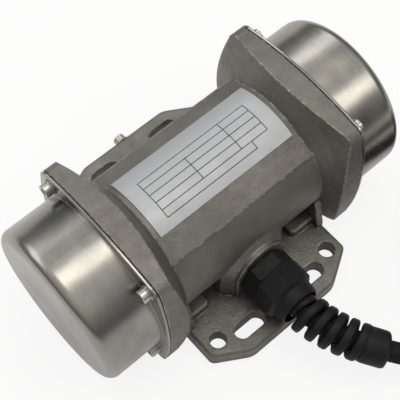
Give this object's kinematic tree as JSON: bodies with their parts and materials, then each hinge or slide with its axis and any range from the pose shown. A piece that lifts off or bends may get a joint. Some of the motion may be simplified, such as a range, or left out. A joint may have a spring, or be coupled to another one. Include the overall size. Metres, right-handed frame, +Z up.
{
  "type": "vibration motor",
  "caption": "Compact foot-mounted vibration motor: cast housing, deep-drawn steel end covers over adjustable unbalanced weights, and a cable gland with a spiral bend protector.",
  "frame": {"origin": "centre of the foot hole pattern, on the plane of the feet", "axes": "+X along the shaft towards the end cover beside which the coiled cable lies, -Y towards the cable gland, +Z up from the feet to the label"},
  "size_m": [0.2372, 0.2157, 0.0728],
  "materials": {
    "cast_aluminium": "matte",
    "stainless": "satin",
    "bright_steel": "polished",
    "label_foil": "satin",
    "electrical_steel": "matte",
    "copper": "satin",
    "cage_aluminium": "satin",
    "machined_steel": "satin",
    "black_nylon": "matte",
    "black_rubber": "matte",
    "core_insulation": "satin"
  },
  "bodies": {
    "housing": {"housing": "cast_aluminium", "rating_label": "label_foil", "earth_screw": "bright_steel", "earth_washer": "bright_steel", "stator_core": "electrical_steel", "stator_windings": "copper", "gland_gasket": "black_rubber", "gland_body": "black_nylon", "gland_seal": "black_rubber", "gland_nut": "black_nylon", "bend_protector": "black_nylon", "cable": "black_rubber", "cable_coil": "black_rubber", "cable_cores": "core_insulation", "left_cover": "stainless", "right_cover": "stainless", "left_cover_gasket": "black_rubber", "right_cover_gasket": "black_rubber", "left_cover_washers": "bright_steel", "right_cover_washers": "bright_steel", "left_cover_screws": "bright_steel", "right_cover_screws": "bright_steel", "left_bearing_shield": "cast_aluminium", "right_bearing_shield": "cast_aluminium", "left_shield_screws": "bright_steel", "right_shield_screws": "bright_steel", "left_bearing_outer_ring": "machined_steel", "right_bearing_outer_ring": "machined_steel"},
    "rotor": {"shaft": "machined_steel", "rotor_core": "electrical_steel", "rotor_cage": "cage_aluminium", "left_bearing_inner_ring": "machined_steel", "left_spacer": "machined_steel", "left_inner_weight": "electrical_steel", "left_inner_weight_screw": "bright_steel", "left_circlip": "machined_steel", "right_bearing_inner_ring": "machined_steel", "right_spacer": "machined_steel", "right_inner_weight": "electrical_steel", "right_inner_weight_screw": "bright_steel", "right_circlip": "machined_steel"},
    "left_ball_set": {"left_bearing_balls": "bright_steel"},
    "right_ball_set": {"right_bearing_balls": "bright_steel"},
    "left_adjustable_weight": {"left_outer_weight": "electrical_steel", "left_outer_weight_screw": "bright_steel"},
    "right_adjustable_weight": {"right_outer_weight": "electrical_steel", "right_outer_weight_screw": "bright_steel"}
  },
  "joints": [
    {"name": "rotor_spin", "type": "hinge", "parent": "housing", "child": "rotor", "pos_m": [0, 0, 0.0353], "axis": [1, 0, 0], "continuous": true},
    {"name": "left_ball_orbit", "type": "hinge", "parent": "housing", "child": "left_ball_set", "pos_m": [-0.0395, 0, 0.0353], "axis": [1, 0, 0], "continuous": true},
    {"name": "right_ball_orbit", "type": "hinge", "parent": "housing", "child": "right_ball_set", "pos_m": [0.0395, 0, 0.0353], "axis": [1, 0, 0], "continuous": true},
    {"name": "left_weight_setting", "type": "hinge", "parent": "rotor", "child": "left_adjustable_weight", "pos_m": [-0.06075, 0, 0.0353], "axis": [1, 0, 0], "range_deg": [0, 180]},
    {"name": "right_weight_setting", "type": "hinge", "parent": "rotor", "child": "right_adjustable_weight", "pos_m": [0.06075, 0, 0.0353], "axis": [1, 0, 0], "range_deg": [0, 180]}
  ],
  "couplings": [
    {"joint": "left_ball_orbit", "follows": "rotor_spin", "ratio": 0.384},
    {"joint": "right_ball_orbit", "follows": "rotor_spin", "ratio": 0.384}
  ]
}
